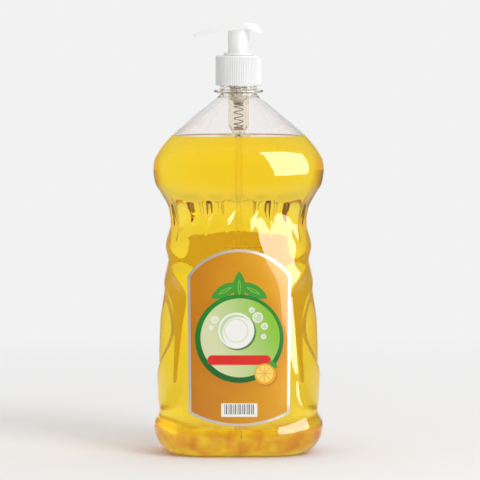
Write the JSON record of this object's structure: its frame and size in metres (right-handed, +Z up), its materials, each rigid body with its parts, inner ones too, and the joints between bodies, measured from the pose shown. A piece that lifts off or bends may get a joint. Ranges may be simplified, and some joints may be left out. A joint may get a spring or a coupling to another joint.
{
  "type": "dish soap bottle",
  "caption": "Clear waisted bottle of yellow dish soap with a front and a back label, and a white screw-on hand pump with a spring, ball valve and dip tube inside.",
  "frame": {"origin": "centre of the bottle's base, on the surface it stands on", "axes": "+Z up along the neck, -Y out of the front label, -X the way the spout points"},
  "size_m": [0.1172, 0.0812, 0.2952],
  "materials": {
    "clear_plastic": "clear gloss",
    "soap": "clear liquid",
    "front_label_print": "printed film",
    "back_label_print": "printed film",
    "white_plastic": "satin",
    "natural_plastic": "milky clear",
    "soft_liner": "soft matt",
    "steel": "bright drawn"
  },
  "bodies": {
    "bottle": {"bottle_body": "clear_plastic", "liquid_soap": "soap", "front_label": "front_label_print", "back_label": "back_label_print"},
    "pump": {"pump_chamber": "natural_plastic", "locking_collar": "white_plastic", "neck_gasket": "soft_liner", "dip_tube": "natural_plastic", "return_spring": "steel"},
    "closure": {"screw_cap": "white_plastic"},
    "plunger": {"plunger_seal": "soft_liner"},
    "actuator": {"pump_head": "white_plastic", "pump_stem": "natural_plastic", "valve_rod": "natural_plastic"},
    "inlet_valve": {"inlet_ball": "steel"}
  },
  "joints": [
    {"name": "pump_rise", "type": "slide", "parent": "bottle", "child": "pump", "axis": [0, 0, 1], "range_m": [0, 0.00635]},
    {"name": "cap_turn", "type": "hinge", "parent": "pump", "child": "closure", "pos_m": [0, 0, 0.262], "axis": [0, 0, 1], "range_deg": [0, 541]},
    {"name": "pump_stroke", "type": "slide", "parent": "pump", "child": "plunger", "axis": [0, 0, -1], "range_m": [0, 0.014], "stiffness_N_per_m": 250, "springref_m": -0.008, "deforming": ["return_spring"]},
    {"name": "head_swivel", "type": "hinge", "parent": "plunger", "child": "actuator", "pos_m": [0, 0, 0.28], "axis": [0, 0, 1], "continuous": true},
    {"name": "ball_lift", "type": "slide", "parent": "pump", "child": "inlet_valve", "axis": [0, 0, 1], "range_m": [0, 0.001]}
  ],
  "couplings": [
    {"joint": "cap_turn", "follows": "pump_rise", "rad_per_m": 1484.3}
  ]
}
